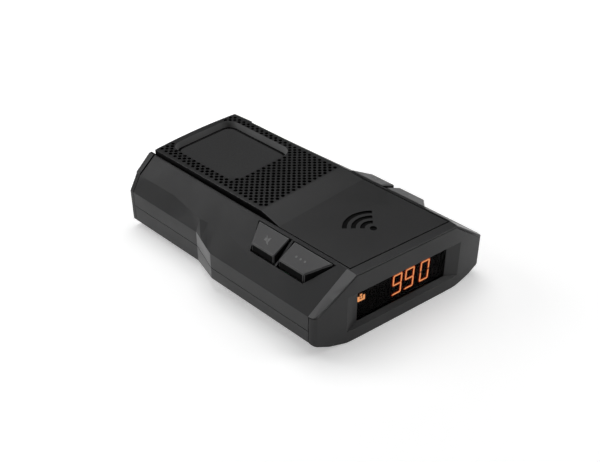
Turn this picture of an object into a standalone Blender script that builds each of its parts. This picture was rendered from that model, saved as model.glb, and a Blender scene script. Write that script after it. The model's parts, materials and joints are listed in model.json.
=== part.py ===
"""Windshield radar detector, built as its separate pieces.

The display end faces -Y, the antenna end faces +Y (the road) and +Z is up.
The origin is at the middle of the underside. The display face is turned a little
towards a driver sitting to the left (-X); everything behind it is square to the body.

The driving dimensions below are in millimetres. A y value is measured back from the
middle of the front face and a z value up from the underside; point() turns them into
metres.
"""

import math

import bmesh
import bpy
from mathutils import Matrix, Vector

# ---------------------------------------------------------------- driving dimensions
MM = 0.001
REAR = 118.9              # the middle of the front face to the rear end of the brow
FRONT_LEAD = 4.0          # how far the face's right-hand end comes ahead of its middle
FACE_SLOPE = -0.1394      # the front face's y for each unit of x: it faces a little left
FACE_ZONE = 10.0          # cross-sections ahead of this lie parallel to the front face
FIT_GAP = 0.3             # between pieces that touch
WALL = 1.8                # housing wall

# The body's cross-section at each station: distance from the front, ridge half-width,
# ridge height, crease half-width, crease height, widest half-width.
STATIONS = (
    (0.0, 24.2, 30.1, 33.0, 23.44, 41.0),
    (61.4, 24.2, 30.1, 33.0, 23.44, 41.0),
    (75.8, 23.9, 29.9, 33.6, 22.5, 35.7),
    (94.0, 23.6, 29.75, 31.4, 23.8, 35.7),
    (118.0, 23.3, 29.6, 31.4, 23.5, 35.7),
)
WIDE_Z = 17.2             # height of the widest edge
UNDER_HALF = 27.0         # half-width of the flat underside
UNDER_SLOPE = 0.39        # rise of the facets from there out to the upright side bands
BEZEL_FOOT_Z = 4.0        # foot of the side band at the very front
PARTING_Z = 10.4          # joint between the two housings
SHELL_REAR = 116.0        # rear end of both housings

# Front end
RIM_DEPTH = 4.2           # chamfered rim strip around the front of the upper housing
RIM_BEVEL = 0.45
RIM_LIP = 0.6             # thickness of the rim where the bezel sits in it
BEZEL_DEPTH = 2.3
CORNER_RADIUS = 2.3       # upright front corners
CORNER_BACK = 3.8         # the bezel wraps the corners to here
SWEEP = 1.4               # how far the front face falls back at its sides
SWEEP_START = 20.0
RECESS_HALF = 28.4        # display recess at the face
RECESS_Z = (5.0, 21.0)
GLASS_HALF = 21.7         # display recess at the glass
GLASS_Z = (6.3, 19.2)
RECESS_DEPTH = 1.8

# Top panel
PANEL_FRONT = 3.9
PANEL_REAR = 118.2        # middle of its bowed rear edge
PANEL_BOW = 1.1           # how far that edge bows back
PANEL_GAP = 0.5           # between the front part of the panel and the housing
BAND_FRONT = 42.3         # foot of the slope up to the raised part
BAND_REAR = 53.0          # top of that slope
RAISED_FRONT_Z = 31.6
RAISED_REAR_Z = 31.3
RAISED_HALF = 22.0
CREST = 0.6               # thickness of the housing's edge along the panel
LEDGE_DEPTH = 3.2         # of the panel's seat below the ridge
DECK = 1.4                # thickness of that seat
PANEL_SEAT_GAP = 0.35

# Pocket in the top panel
POCKET_CENTRE = (0.9, 95.6)   # it sits a little right of the middle
POCKET_HALF = (15.3, 18.5)
POCKET_GROOVE = 0.5       # between the plate and the wall around it
POCKET_FLARE = 1.2        # from the plate's edge out to the pocket's rim
POCKET_RADIUS = 4.2
POCKET_FLOOR_Z = 28.7
POCKET_PLATE = 0.8

# Buttons
BUTTON_INNER = 25.3
BUTTON_OUTER = 33.5
BUTTON_INNER_Z = 29.9
BUTTON_OUTER_Z = 26.1
BUTTON_UNDER_Z = 22.0
BUTTON_GAPS = {"front": (0.6, 0.6, 0.9, 0.4), "rear": (0.9, 0.6, 0.45, 0.4)}
FRONT_BUTTON = ((BUTTON_INNER, 13.0), (BUTTON_OUTER, 19.5), (BUTTON_OUTER, 32.0), (BUTTON_INNER, 32.0))
REAR_BUTTON = ((BUTTON_INNER, 34.6), (BUTTON_OUTER, 34.6), (BUTTON_OUTER, 46.3), (BUTTON_INNER, 50.6))
FRONT_SWITCH = (29.7, 25.0)
REAR_SWITCH = (29.7, 42.0)

# Inside
FLOOR_Z = WALL
BOARD_HALF = 29.5
BOARD_Y = (19.0, 104.0)
BOARD_Z = (4.4, 6.0)
PART_Z = BOARD_Z[1] + FIT_GAP
BOSS_RADIUS = 2.6
BOSS_PLACES = ((21.8, 16.0), (21.8, 109.4))
BOARD_SCREW_PLACES = ((20.5, 23.0), (23.0, 98.5))
BUTTON_BOARD_X = (26.3, 36.3)
BUTTON_BOARD_Y = (14.3, 52.5)
BUTTON_BOARD_Z = (15.3, 16.5)
BUTTON_POST_PLACES = ((34.1, 16.6), (34.1, 50.2))
BUTTON_POST_RADIUS = 1.9
SPEAKER_CENTRE = 66.0
SPEAKER_RADIUS = 14.3
JACK_PLACE = (91.2, 9.0)      # distance from the front, height
USB_PLACE = (80.5, 8.1)
LASER_PLACE = (28.2, 11.0)    # sideways, height
WINDOW_HALF = 31.0
WINDOW_Z = (4.6, 15.2)

# ---------------------------------------------------------------- scene set-up
for old in list(bpy.data.objects):
    bpy.data.objects.remove(old, do_unlink=True)

PARTS = bpy.data.collections.new("radar_detector")
CUTTERS = bpy.data.collections.new("cutters")
bpy.context.scene.collection.children.link(PARTS)
bpy.context.scene.collection.children.link(CUTTERS)


def material(name, colour, roughness, metallic=0.0):
    """A plain Principled material."""
    mat = bpy.data.materials.new(name)
    mat.use_nodes = True
    shader = mat.node_tree.nodes["Principled BSDF"]
    shader.inputs["Base Color"].default_value = (*colour, 1.0)
    shader.inputs["Roughness"].default_value = roughness
    shader.inputs["Metallic"].default_value = metallic
    mat.diffuse_color = (*colour, 1.0)
    return mat


SHELL = material("shell_plastic", (0.030, 0.030, 0.032), 0.55)
TRIM = material("panel_plastic", (0.026, 0.026, 0.028), 0.60)
KEY = material("button_plastic", (0.045, 0.045, 0.047), 0.50)
SMOKED = material("smoked_acrylic", (0.006, 0.006, 0.007), 0.08)
RUBBER = material("pad_rubber", (0.022, 0.022, 0.024), 0.80)
BOARD = material("circuit_board", (0.010, 0.110, 0.040), 0.45)
BLACK = material("component_black", (0.015, 0.015, 0.015), 0.40)
IVORY = material("connector_ivory", (0.70, 0.66, 0.55), 0.50)
CERAMIC = material("ceramic", (0.60, 0.48, 0.30), 0.50)
STEEL = material("steel", (0.55, 0.55, 0.56), 0.30, 1.0)
ZINC = material("cast_zinc", (0.42, 0.43, 0.45), 0.42, 1.0)
PAPER = material("cone_paper", (0.08, 0.08, 0.08), 0.90)
LABEL = material("label_film", (0.45, 0.45, 0.46), 0.50)


# ---------------------------------------------------------------- helpers
def point(x, y, z):
    """Millimetres from the front and the underside, to a point in metres."""
    return Vector((x * MM, (y - (REAR - FRONT_LEAD) / 2) * MM, z * MM))


def slanted(x, y):
    """y at a place x on the plane that is parallel to the front face and y behind it."""
    return y + FACE_SLOPE * x


def face_point(u, v, z):
    """A point u along the front face from its middle, v squarely behind it and z up."""
    turn = math.atan(FACE_SLOPE)
    return point(u * math.cos(turn) - v * math.sin(turn), u * math.sin(turn) + v * math.cos(turn), z)


def finish_object(name, mesh, mat):
    """Put a mesh in the scene as a piece, or as a cutter when it has no material."""
    obj = bpy.data.objects.new(name, mesh)
    if mat is None:
        CUTTERS.objects.link(obj)
        obj.hide_render = True
        obj.display_type = 'WIRE'
    else:
        PARTS.objects.link(obj)
        mesh.materials.append(mat)
    return obj


def mesh_from(name, shape):
    """Close a bmesh into mesh data with its faces pointing out."""
    bmesh.ops.recalc_face_normals(shape, faces=shape.faces)
    mesh = bpy.data.meshes.new(name)
    shape.to_mesh(mesh)
    shape.free()
    return mesh


def loft(name, rings, mat=None):
    """A closed solid through rings that all have the same number of points."""
    shape = bmesh.new()
    rows = [[shape.verts.new(p) for p in ring] for ring in rings]
    count = len(rows[0])
    for near, far in zip(rows, rows[1:]):
        for i in range(count):
            j = (i + 1) % count
            shape.faces.new((near[i], near[j], far[j], far[i]))
    shape.faces.new(rows[0])
    shape.faces.new(rows[-1])
    bmesh.ops.connect_verts_nonplanar(shape, faces=shape.faces, angle_limit=math.radians(0.01))
    return finish_object(name, mesh_from(name, shape), mat)


def upright_prism(name, outline, low, high, mat=None):
    """An (x, y) outline carried from z = low to z = high."""
    rings = [[point(x, y, z) for x, y in outline] for z in (low, high)]
    return loft(name, rings, mat)


def lengthwise_prism(name, outline, front, rear, mat=None):
    """An (x, z) outline carried from y = front to y = rear."""
    rings = [[point(x, y, z) for x, z in outline] for y in (front, rear)]
    return loft(name, rings, mat)


def crosswise_prism(name, outline, left, right, mat=None):
    """A (y, z) outline carried from x = left to x = right."""
    rings = [[point(x, y, z) for y, z in outline] for x in (left, right)]
    return loft(name, rings, mat)


def box(name, xs, ys, zs, mat=None):
    """A block between two limits along each axis."""
    shape = bmesh.new()
    bmesh.ops.create_cube(shape, size=1.0)
    low = point(xs[0], ys[0], zs[0])
    high = point(xs[1], ys[1], zs[1])
    size = high - low
    bmesh.ops.transform(shape, verts=shape.verts, matrix=Matrix.Diagonal((*size, 1.0)))
    bmesh.ops.translate(shape, verts=shape.verts, vec=(low + high) / 2)
    return finish_object(name, mesh_from(name, shape), mat)


def face_box(name, us, vs, zs, mat=None):
    """A block that is square to the front face."""
    corners = ((us[0], vs[0]), (us[1], vs[0]), (us[1], vs[1]), (us[0], vs[1]))
    return loft(name, [[face_point(u, v, z) for u, v in corners] for z in zs], mat)


def slanted_prism(name, outline, front, rear, mat=None):
    """An (x, z) outline carried along the body between two planes parallel to the face."""
    rings = [[point(x, slanted(x, y), z) for x, z in outline] for y in (front, rear)]
    return loft(name, rings, mat)


def slanted_slab(name, front, rear, zs):
    """Everything between two planes parallel to the face and two heights."""
    outline = ((-60, zs[0]), (60, zs[0]), (60, zs[1]), (-60, zs[1]))
    return slanted_prism(name, outline, front, rear)


def rod(name, centre, radius, length, axis='Z', mat=None, tip=None, segments=20):
    """A cylinder, or a cone frustum with a tip radius, centred on a point."""
    shape = bmesh.new()
    bmesh.ops.create_cone(
        shape, cap_ends=True, segments=segments, depth=length * MM,
        radius1=radius * MM, radius2=(radius if tip is None else tip) * MM)
    turn = {'X': Matrix.Rotation(math.pi / 2, 4, 'Y'),
            'Y': Matrix.Rotation(-math.pi / 2, 4, 'X'),
            'Z': Matrix.Identity(4)}[axis]
    bmesh.ops.transform(shape, verts=shape.verts, matrix=turn)
    bmesh.ops.translate(shape, verts=shape.verts, vec=point(*centre))
    mesh = mesh_from(name, shape)
    mesh.shade_smooth()
    mesh.set_sharp_from_angle(angle=math.radians(40))
    return finish_object(name, mesh, mat)


def turned(name, profile, centre, mat, segments=20):
    """A turned piece: a (radius, height) profile around an upright axis.

    A profile that starts and ends on the axis is left open there.
    """
    count = len(profile)
    area = sum(profile[i][0] * profile[(i + 1) % count][1]
               - profile[(i + 1) % count][0] * profile[i][1] for i in range(count))
    if area > 0:
        profile = list(reversed(profile))
    shape = bmesh.new()
    corners = [shape.verts.new((r * MM, 0.0, z * MM)) for r, z in profile]
    for near, far in zip(corners, corners[1:]):
        shape.edges.new((near, far))
    if profile[0][0] > 0 or profile[-1][0] > 0:
        shape.edges.new((corners[-1], corners[0]))
    mesh = bpy.data.meshes.new(name)
    shape.to_mesh(mesh)
    shape.free()
    obj = finish_object(name, mesh, mat)
    obj.location = point(*centre)
    screw = obj.modifiers.new("turn", 'SCREW')
    screw.steps = segments
    screw.render_steps = segments
    screw.use_merge_vertices = True
    screw.merge_threshold = 0.00001
    return obj


def combine(obj, others, operation):
    """Add other shapes to a piece, or cut them out of it."""
    for other in others:
        step = obj.modifiers.new(f"{operation.lower()}_{other.name}", 'BOOLEAN')
        step.operation = operation
        step.solver = 'EXACT'
        step.object = other
    return obj


def cut(obj, *others):
    return combine(obj, others, 'DIFFERENCE')


def join(obj, *others):
    return combine(obj, others, 'UNION')


def lerp(a, b, t):
    return a + (b - a) * t


def rounded_rectangle(centre, half, radius, steps=6):
    """Corners of a rounded rectangle in a plane, counter-clockwise."""
    corners = []
    for number, (sx, sy) in enumerate(((1, 1), (-1, 1), (-1, -1), (1, -1))):
        cx = centre[0] + sx * (half[0] - radius)
        cy = centre[1] + sy * (half[1] - radius)
        for i in range(steps + 1):
            angle = math.pi / 2 * (number + i / steps)
            corners.append((cx + radius * math.cos(angle), cy + radius * math.sin(angle)))
    return corners


def grown(outline, distance):
    """A convex outline with every side moved out by a distance (in when negative).

    The distance may also be one value per side, side i running from point i to i + 1.
    """
    count = len(outline)
    distances = distance if hasattr(distance, "__len__") else [distance] * count
    area = sum(outline[i][0] * outline[(i + 1) % count][1]
               - outline[(i + 1) % count][0] * outline[i][1] for i in range(count))
    turn = 1.0 if area > 0 else -1.0
    sides = []
    for i in range(count):
        a = Vector(outline[i])
        b = Vector(outline[(i + 1) % count])
        along = (b - a).normalized()
        out = Vector((along.y, -along.x)) * turn
        sides.append((a + out * distances[i], along))
    corners = []
    for i in range(count):
        base, along = sides[i - 1]
        other, other_along = sides[i]
        cross = along.x * other_along.y - along.y * other_along.x
        gap = other - base
        t = (gap.x * other_along.y - gap.y * other_along.x) / cross
        corners.append(tuple(base + along * t))
    return corners


def mirrored(outline):
    return [(-x, y) for x, y in reversed(outline)]


# ---------------------------------------------------------------- the body's shape
def station(y):
    """The section's measures at a distance from the front, between the stations."""
    y = max(y, STATIONS[0][0])
    y = min(y, STATIONS[-1][0])
    for near, far in zip(STATIONS, STATIONS[1:]):
        if y <= far[0]:
            t = (y - near[0]) / (far[0] - near[0])
            return [lerp(a, b, t) for a, b in zip(near[1:], far[1:])]
    return list(STATIONS[-1][1:])


def ridge_half(y):
    return station(y)[0]


def ridge_z(y):
    return station(y)[1]


def foot_z(half_width):
    """Where the sloping facet under the body meets its upright side."""
    return (half_width - UNDER_HALF) * UNDER_SLOPE


def section(y):
    """The body's outline at y as (x, z), anticlockwise from the left ridge."""
    ridge, top, crease, crease_z, wide = station(y)
    right = [(UNDER_HALF, 0.0), (wide, foot_z(wide)), (wide, WIDE_Z), (crease, crease_z), (ridge, top)]
    return mirrored(right) + right


SECTION_TOP = 9           # the side of section() that runs across the top


def body_loft(name, ys, sides=0.0, top=None, mat=None):
    """A loft along the body, with its sides and its top moved out by a distance."""
    rings = []
    for y in ys:
        distances = [sides] * 10
        distances[SECTION_TOP] = sides if top is None else top
        inset = max(0.0, RIM_BEVEL * (1 - y / RIM_DEPTH)) if mat is not None else 0.0
        outline = grown(section(y), [d - inset for d in distances])
        rings.append([point(x, slanted(x, y) if y < FACE_ZONE else y, z) for x, z in outline])
    return loft(name, rings, mat)


def front_face_y(x):
    """How far the front face has fallen back behind its middle plane at a place across it."""
    t = max(0.0, abs(x) - SWEEP_START) / (STATIONS[0][5] - CORNER_RADIUS - SWEEP_START)
    return SWEEP * t * t


def front_trim(name):
    """Everything ahead of the swept front face and its rounded upright corners."""
    wide = STATIONS[0][5]
    half = []
    steps = 4
    for i in range(steps + 1):
        x = lerp(SWEEP_START, wide - CORNER_RADIUS, i / steps)
        half.append((x, front_face_y(x)))
    for i in range(1, 7):
        angle = math.pi / 2 * i / 6
        half.append((wide - CORNER_RADIUS + CORNER_RADIUS * math.sin(angle),
                     SWEEP + CORNER_RADIUS * (1 - math.cos(angle))))
    half += [(wide, CORNER_BACK + 4.0), (wide + 3.0, CORNER_BACK + 4.0), (wide + 3.0, -4.0)]
    outline = [(x, slanted(x, y)) for x, y in half + mirrored(half)]
    return upright_prism(name, outline, -2.0, 36.0)


MIDDLE_YS = (18.0, 40.0, 61.4, 66.2, 71.0, 75.8, 81.9, 87.9, 94.0, 104.0)
BODY_YS = (-1.5, RIM_DEPTH) + MIDDLE_YS + (SHELL_REAR,)


def raised_z(y):
    t = (y - BAND_REAR) / (SHELL_REAR - BAND_REAR)
    return lerp(RAISED_FRONT_Z, RAISED_REAR_Z, t)


# ---------------------------------------------------------------- housings
def both_sides(places):
    return [(side * x, y) for x, y in places for side in (-1, 1)]


def jack_hole(name):
    """Cutter for the power inlet in the right wall; it crosses the parting line."""
    y, z = JACK_PLACE
    return rod(name, (34.8, y, z), 3.0, 5.0, 'X')


def lower_housing():
    """The tray below the parting line, with its bosses and posts."""
    steps = (STATIONS[1][0], STATIONS[2][0])
    tray = body_loft("lower_housing", (CORNER_BACK + FIT_GAP, 18.0, *steps, SHELL_REAR), mat=SHELL)
    cut(tray, body_loft("lower_cavity", (-2.0, 18.0, *steps, SHELL_REAR + 3.0), -WALL))
    cut(tray, box("lower_top_trim", (-60, 60), (-10, 140), (PARTING_Z, 40)))
    for number, (x, y) in enumerate(both_sides(BOSS_PLACES)):
        boss = rod(f"lower_boss_{number}", (x, y, (FLOOR_Z + PARTING_Z) / 2 - 0.5), BOSS_RADIUS,
                   PARTING_Z - FLOOR_Z + 1.0)
        hole = rod(f"lower_boss_hole_{number}", (x, y, 6.0), 1.6, 20.0, segments=12)
        sink = rod(f"lower_boss_sink_{number}", (x, y, 0.0), 3.0, 4.4)
        collar = rod(f"lower_boss_collar_{number}", (x, y, 2.3), 4.2, 3.4)
        join(tray, boss, collar)
        cut(tray, hole, sink)
    for number, (x, y) in enumerate(both_sides(BOARD_SCREW_PLACES)):
        top = BOARD_Z[0] - FIT_GAP
        join(tray, rod(f"board_post_{number}", (x, y, (top + 1.0) / 2), 2.4, top - 1.0, segments=12))
        cut(tray, rod(f"board_post_hole_{number}", (x, y, 3.4), 1.2, 2.4, segments=12))
    for number, (x, y) in enumerate(both_sides(BUTTON_POST_PLACES)):
        top = BUTTON_BOARD_Z[0] - FIT_GAP
        low = foot_z(abs(x) + BUTTON_POST_RADIUS) + 0.1
        join(tray, rod(f"button_post_{number}", (x, y, (top + low) / 2), BUTTON_POST_RADIUS, top - low, segments=12))
        cut(tray, rod(f"button_post_hole_{number}", (x, y, top), 1.0, 6.0, segments=12))
    cut(tray, box("label_recess", (-21, 21), (44, 72), (-1.0, 0.7)))
    y, z = USB_PLACE
    usb = box("usb_hole", (32.0, 38.0), (y - 4.6, y + 4.6), (z - 1.9, PARTING_Z + 1.0))
    cut(tray, jack_hole("lower_jack_hole"), usb)
    return tray


def upper_housing():
    """The cover above the parting line, open at both ends and under the top panel."""
    cover = body_loft("upper_housing", BODY_YS, mat=SHELL)
    cut(cover, box("upper_bottom_trim", (-60, 60), (-10, 140), (-5, PARTING_Z + FIT_GAP)))
    cut(cover, front_trim("upper_front_trim"))
    cavity_ys = (-4.0,) + MIDDLE_YS + (SHELL_REAR + 3.0,)
    cut(cover, body_loft("upper_cavity", cavity_ys, -WALL, -(LEDGE_DEPTH + DECK)))
    cut(cover, body_loft("bezel_seat", (-3.0, BEZEL_DEPTH + FIT_GAP), -(RIM_LIP + RIM_BEVEL)))
    cut(cover, slanted_slab("corner_trim", -10.0, CORNER_BACK + FIT_GAP, (-5, WIDE_Z)))
    rings = []
    for y in (PANEL_FRONT - PANEL_GAP, 18.0, STATIONS[1][0], STATIONS[2][0], STATIONS[3][0], SHELL_REAR + 2.0):
        half = ridge_half(y) - CREST
        corners = ((half, -LEDGE_DEPTH), (half, 6.0), (-half, 6.0), (-half, -LEDGE_DEPTH))
        rings.append([point(x, slanted(x, y) if y < FACE_ZONE else y, ridge_z(y) + lift)
                      for x, lift in corners])
    cut(cover, loft("panel_seat", rings))
    cut(cover, rod("speaker_opening", (0, SPEAKER_CENTRE, 24.0), 12.4, 8.0, segments=32))
    for side in (-1, 1):
        for label, outline in (("front", FRONT_BUTTON), ("rear", REAR_BUTTON)):
            hole = [(side * x, y) for x, y in grown(outline, BUTTON_GAPS[label])]
            cut(cover, upright_prism(f"opening_{label}_{side}", hole, 18.5, 34.0))
    for number, (x, y) in enumerate(both_sides(BOSS_PLACES)):
        low = PARTING_Z + FIT_GAP
        high = ridge_z(y) - LEDGE_DEPTH - DECK / 2
        join(cover, rod(f"upper_boss_{number}", (x, y, (low + high) / 2), BOSS_RADIUS, high - low))
        cut(cover, rod(f"upper_boss_hole_{number}", (x, y, low + 4.0), 1.5, 10.0, segments=12))
    cut(cover, jack_hole("upper_jack_hole"))
    return cover


# ---------------------------------------------------------------- top panel and pocket
def top_panel():
    """The perforated cover: flat in front, a slope, then the raised part with its pocket."""
    front_half = ridge_half(PANEL_FRONT) - CREST - PANEL_GAP
    band_half = ridge_half(BAND_FRONT) - CREST - PANEL_GAP
    rows = [(PANEL_FRONT, front_half, ridge_z(PANEL_FRONT)),
            (BAND_FRONT, band_half, ridge_z(BAND_FRONT)),
            (BAND_REAR, RAISED_HALF, RAISED_FRONT_Z),
            (SHELL_REAR, RAISED_HALF, RAISED_REAR_Z),
            (PANEL_REAR + 1.0, RAISED_HALF, raised_z(PANEL_REAR + 1.0))]
    rings = []
    for y, half, top in rows:
        low = ridge_z(y) - LEDGE_DEPTH + PANEL_SEAT_GAP
        corners = ((half, low), (half, top), (-half, top), (-half, low))
        rings.append([point(x, slanted(x, y) if y < FACE_ZONE else y, z) for x, z in corners])
    panel = loft("top_panel", rings, TRIM)
    steps = 10
    bow = []
    for i in range(steps + 1):
        x = lerp(-26.0, 26.0, i / steps)
        bow.append((x, PANEL_REAR - PANEL_BOW * (x / RAISED_HALF) ** 2))
    bow += [(26.0, PANEL_REAR + 6.0), (-26.0, PANEL_REAR + 6.0)]
    cut(panel, upright_prism("panel_rear_trim", bow, 18.0, 36.0))
    floor = POCKET_FLOOR_Z - POCKET_PLATE - FIT_GAP
    cut(panel, pocket_cutter(floor))
    pocket_front = POCKET_CENTRE[1] - POCKET_HALF[1] - POCKET_FLARE
    cut(panel, box("panel_hollow", (-18.5, 18.5), (BAND_REAR + 3.0, pocket_front - 2.0), (20.0, 29.3)))
    return panel


def pocket_cutter(floor):
    """The pocket: upright walls around the plate, then walls that flare out to the top."""
    top = raised_z(POCKET_CENTRE[1])
    beyond = 2.0
    spread = (POCKET_FLARE - POCKET_GROOVE) * beyond / (top - POCKET_FLOOR_Z)
    inner = grown_rectangle(POCKET_GROOVE)
    outer = grown_rectangle(POCKET_FLARE)
    wide = grown_rectangle(POCKET_FLARE + spread)
    rings = [[point(x, y, z) for x, y in ring] for ring, z in
             ((inner, floor), (inner, POCKET_FLOOR_Z), (outer, top), (wide, top + beyond))]
    return loft("pocket_cutter", rings)


def grown_rectangle(extra):
    half = tuple(h + extra for h in POCKET_HALF)
    return rounded_rectangle(POCKET_CENTRE, half, POCKET_RADIUS + extra)


def pocket_plate():
    """The flat steel-backed pad on the pocket's floor, where a magnetic mount holds."""
    return upright_prism("pocket_plate", rounded_rectangle(POCKET_CENTRE, POCKET_HALF, POCKET_RADIUS),
                         POCKET_FLOOR_Z - POCKET_PLATE, POCKET_FLOOR_Z, RUBBER)


# ---------------------------------------------------------------- front end
def front_bezel():
    """The front face: full width below the widest edge, inside the rim above it."""
    wide = station(0.0)[4]
    inner = grown(section(0.0), -(RIM_LIP + RIM_BEVEL + FIT_GAP))
    shoulder = WIDE_Z - FIT_GAP
    rings = []
    for y in (-1.5, CORNER_BACK):
        foot = lerp(BEZEL_FOOT_Z, foot_z(wide), y / CORNER_BACK)
        right = [(UNDER_HALF, 0.0), (wide, foot), (wide, shoulder), (inner[7][0], shoulder), inner[8], inner[9]]
        rings.append([point(x, slanted(x, y), z) for x, z in right + mirrored(right)])
    bezel = loft("front_bezel", rings, SHELL)
    cut(bezel, front_trim("bezel_front_trim"))
    low, high = RECESS_Z
    glass_low, glass_high = GLASS_Z
    spread = 2.0
    out = spread / RECESS_DEPTH
    wide_half = RECESS_HALF + (RECESS_HALF - GLASS_HALF) * out
    rings = []
    for v, half, z0, z1 in (
            (-spread, wide_half, low - (glass_low - low) * out, high + (high - glass_high) * out),
            (RECESS_DEPTH, GLASS_HALF, glass_low, glass_high),
            (RECESS_DEPTH + 3.0, GLASS_HALF, glass_low, glass_high)):
        corners = ((-half, z0), (half, z0), (half, z1), (-half, z1))
        rings.append([face_point(u, v, z) for u, z in corners])
    cut(bezel, loft("display_recess", rings))
    cut(bezel, slanted_slab("bezel_back_upper", BEZEL_DEPTH, 10.0, (shoulder, 40)))
    hollow = grown(section(0.0), -WALL)
    cut(bezel, slanted_prism("bezel_back_lower", hollow, BEZEL_DEPTH, 10.0))
    return bezel


def display_stack():
    """Window, light-emitting module, its board and connector, front to back."""
    low, high = GLASS_Z
    back = BEZEL_DEPTH + FIT_GAP
    window = face_box("display_window", (-24.5, 24.5), (back, back + 1.0), (4.4, 21.0), SMOKED)
    half = GLASS_HALF - FIT_GAP
    nose = face_box("window_nose", (-half, half), (RECESS_DEPTH + 0.1, back + 0.5),
                    (low + FIT_GAP, high - FIT_GAP))
    join(window, nose)
    face_box("display_module", (-21.0, 21.0), (4.0, 8.2), (6.0, 19.4), BLACK)
    face_box("display_board", (-25.5, 25.5), (8.5, 9.7), (4.6, 21.2), BOARD)
    face_box("display_connector", (-9.0, 9.0), (10.0, 12.0), (9.6, 12.8), IVORY)


def ribbon_cable():
    """The flat cable from the display board's connector down to the main board's."""
    width = 7.5
    thickness = 0.3
    start = (12.5, 11.2)
    end = (19.6, 8.0)
    steps = 8
    rings = []
    for x in (-width, width):
        upper = []
        under = []
        for i in range(steps + 1):
            t = i / steps
            y = lerp(slanted(x, start[0]), end[0], t)
            z = lerp(start[1], end[1], t * t * (3 - 2 * t))
            upper.append(point(x, y, z + thickness / 2))
            under.append(point(x, y, z - thickness / 2))
        rings.append(upper + list(reversed(under)))
    loft("ribbon_cable", rings, IVORY)


# ---------------------------------------------------------------- rear end
def rear_cap():
    """The road end: a frame around the rear window, with a proud brow above."""
    ridge, top, crease, crease_z, wide = station(SHELL_REAR)
    proud = 0.5
    seat = ridge_z(SHELL_REAR) - LEDGE_DEPTH
    slope = (Vector((ridge, top)) - Vector((crease, crease_z))).normalized()
    out = Vector((slope.y, -slope.x)) * proud
    foot = Vector((crease, crease_z)) + slope * 0.4
    head = Vector((ridge, top)) - slope * 0.2
    shelf = RAISED_HALF + 0.5
    right = [(UNDER_HALF, 0.0), (wide, foot_z(wide)), (wide, WIDE_Z), (crease, crease_z), tuple(foot + out),
             tuple(head + out), (shelf, head.y + out.y), (shelf, seat)]
    cap = lengthwise_prism("rear_cap", right + mirrored(right), SHELL_REAR + FIT_GAP, REAR + 4.0, SHELL)
    rear_low = 118.0
    brow_z = head.y + out.y
    lean = (REAR - rear_low) / (brow_z - WIDE_Z)
    trim = [(rear_low, -2.0), (rear_low, WIDE_Z), (REAR + 2.0 * lean, brow_z + 2.0),
            (REAR + 9.0, brow_z + 2.0), (REAR + 9.0, -2.0)]
    cut(cap, crosswise_prism("rear_trim", trim, -60, 60))
    hollow = grown(section(SHELL_REAR), [-WALL - 0.6] * 9 + [-(LEDGE_DEPTH + DECK)])
    cut(cap, lengthwise_prism("rear_hollow", hollow, SHELL_REAR - 2.0, SHELL_REAR + 0.8))
    cut(cap, box("window_opening", (-WINDOW_HALF, WINDOW_HALF), (110, 130), WINDOW_Z))
    return cap


def rear_window():
    """The infrared-clear strip in the rear cap, with a flange behind the frame."""
    half = WINDOW_HALF - FIT_GAP
    low, high = WINDOW_Z
    window = box("rear_window", (-half, half), (115.0, 117.7), (low + FIT_GAP, high - FIT_GAP), SMOKED)
    cut(window, box("window_thinning", (-half + 1.2, half - 1.2), (113, 116.2), (low + 1.5, high - 1.5)))
    return window


# ---------------------------------------------------------------- buttons and their switches
def button(name, outline, side, place):
    """A key cap with a sloping top; its origin is over its switch, on the joint's axis."""
    x0, x1 = BUTTON_INNER, BUTTON_OUTER
    fall = (BUTTON_OUTER_Z - BUTTON_INNER_Z) / (x1 - x0)
    shape = bmesh.new()
    origin = point(side * place[0], place[1], BUTTON_UNDER_Z)
    rows = []
    for level in ("under", "top"):
        row = []
        for x, y in outline:
            z = BUTTON_UNDER_Z if level == "under" else BUTTON_INNER_Z + fall * (x - x0)
            row.append(shape.verts.new(point(side * x, y, z) - origin))
        rows.append(row)
    count = len(outline)
    for i in range(count):
        j = (i + 1) % count
        shape.faces.new((rows[0][i], rows[0][j], rows[1][j], rows[1][i]))
    shape.faces.new(rows[0])
    shape.faces.new(rows[1])
    cap = finish_object(name, mesh_from(name, shape), KEY)
    cap.location = origin
    bevel = cap.modifiers.new("soft_edges", 'BEVEL')
    bevel.width = 0.35 * MM
    bevel.segments = 1
    bevel.limit_method = 'ANGLE'
    return cap


def switch(name, side, place):
    """A tact switch body, open on top around its plunger."""
    x, y = side * place[0], place[1]
    low = BUTTON_BOARD_Z[1] + FIT_GAP
    body = box(f"switch_{name}", (x - 3, x + 3), (y - 3, y + 3), (low, low + 3.4), BLACK)
    cut(body, rod(f"switch_well_{name}", (x, y, low + 3.4), 2.1, 2.6, segments=16))
    plunger = rod(f"plunger_{name}", (x, y, 0.0), 1.7, 2.8, mat=IVORY, segments=16)
    bottom = low + 2.9
    top = BUTTON_UNDER_Z - FIT_GAP
    for vertex in plunger.data.vertices:
        flat = point(0, 0, 0)
        vertex.co.z = (top if vertex.co.z > flat.z else bottom) * MM
    return body


def buttons():
    for side, hand in ((-1, "left"), (1, "right")):
        for end, outline, place in (("front", FRONT_BUTTON, FRONT_SWITCH), ("rear", REAR_BUTTON, REAR_SWITCH)):
            button(f"button_{hand}_{end}", outline, side, place)
            switch(f"{hand}_{end}", side, place)
        xs = sorted((side * BUTTON_BOARD_X[0], side * BUTTON_BOARD_X[1]))
        board = box(f"button_board_{hand}", xs, BUTTON_BOARD_Y, BUTTON_BOARD_Z, BOARD)
        for number, (x, y) in enumerate(BUTTON_POST_PLACES):
            cut(board, rod(f"button_board_hole_{hand}_{number}", (side * x, y, 14.5), 1.2, 6.0, segments=12))


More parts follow.
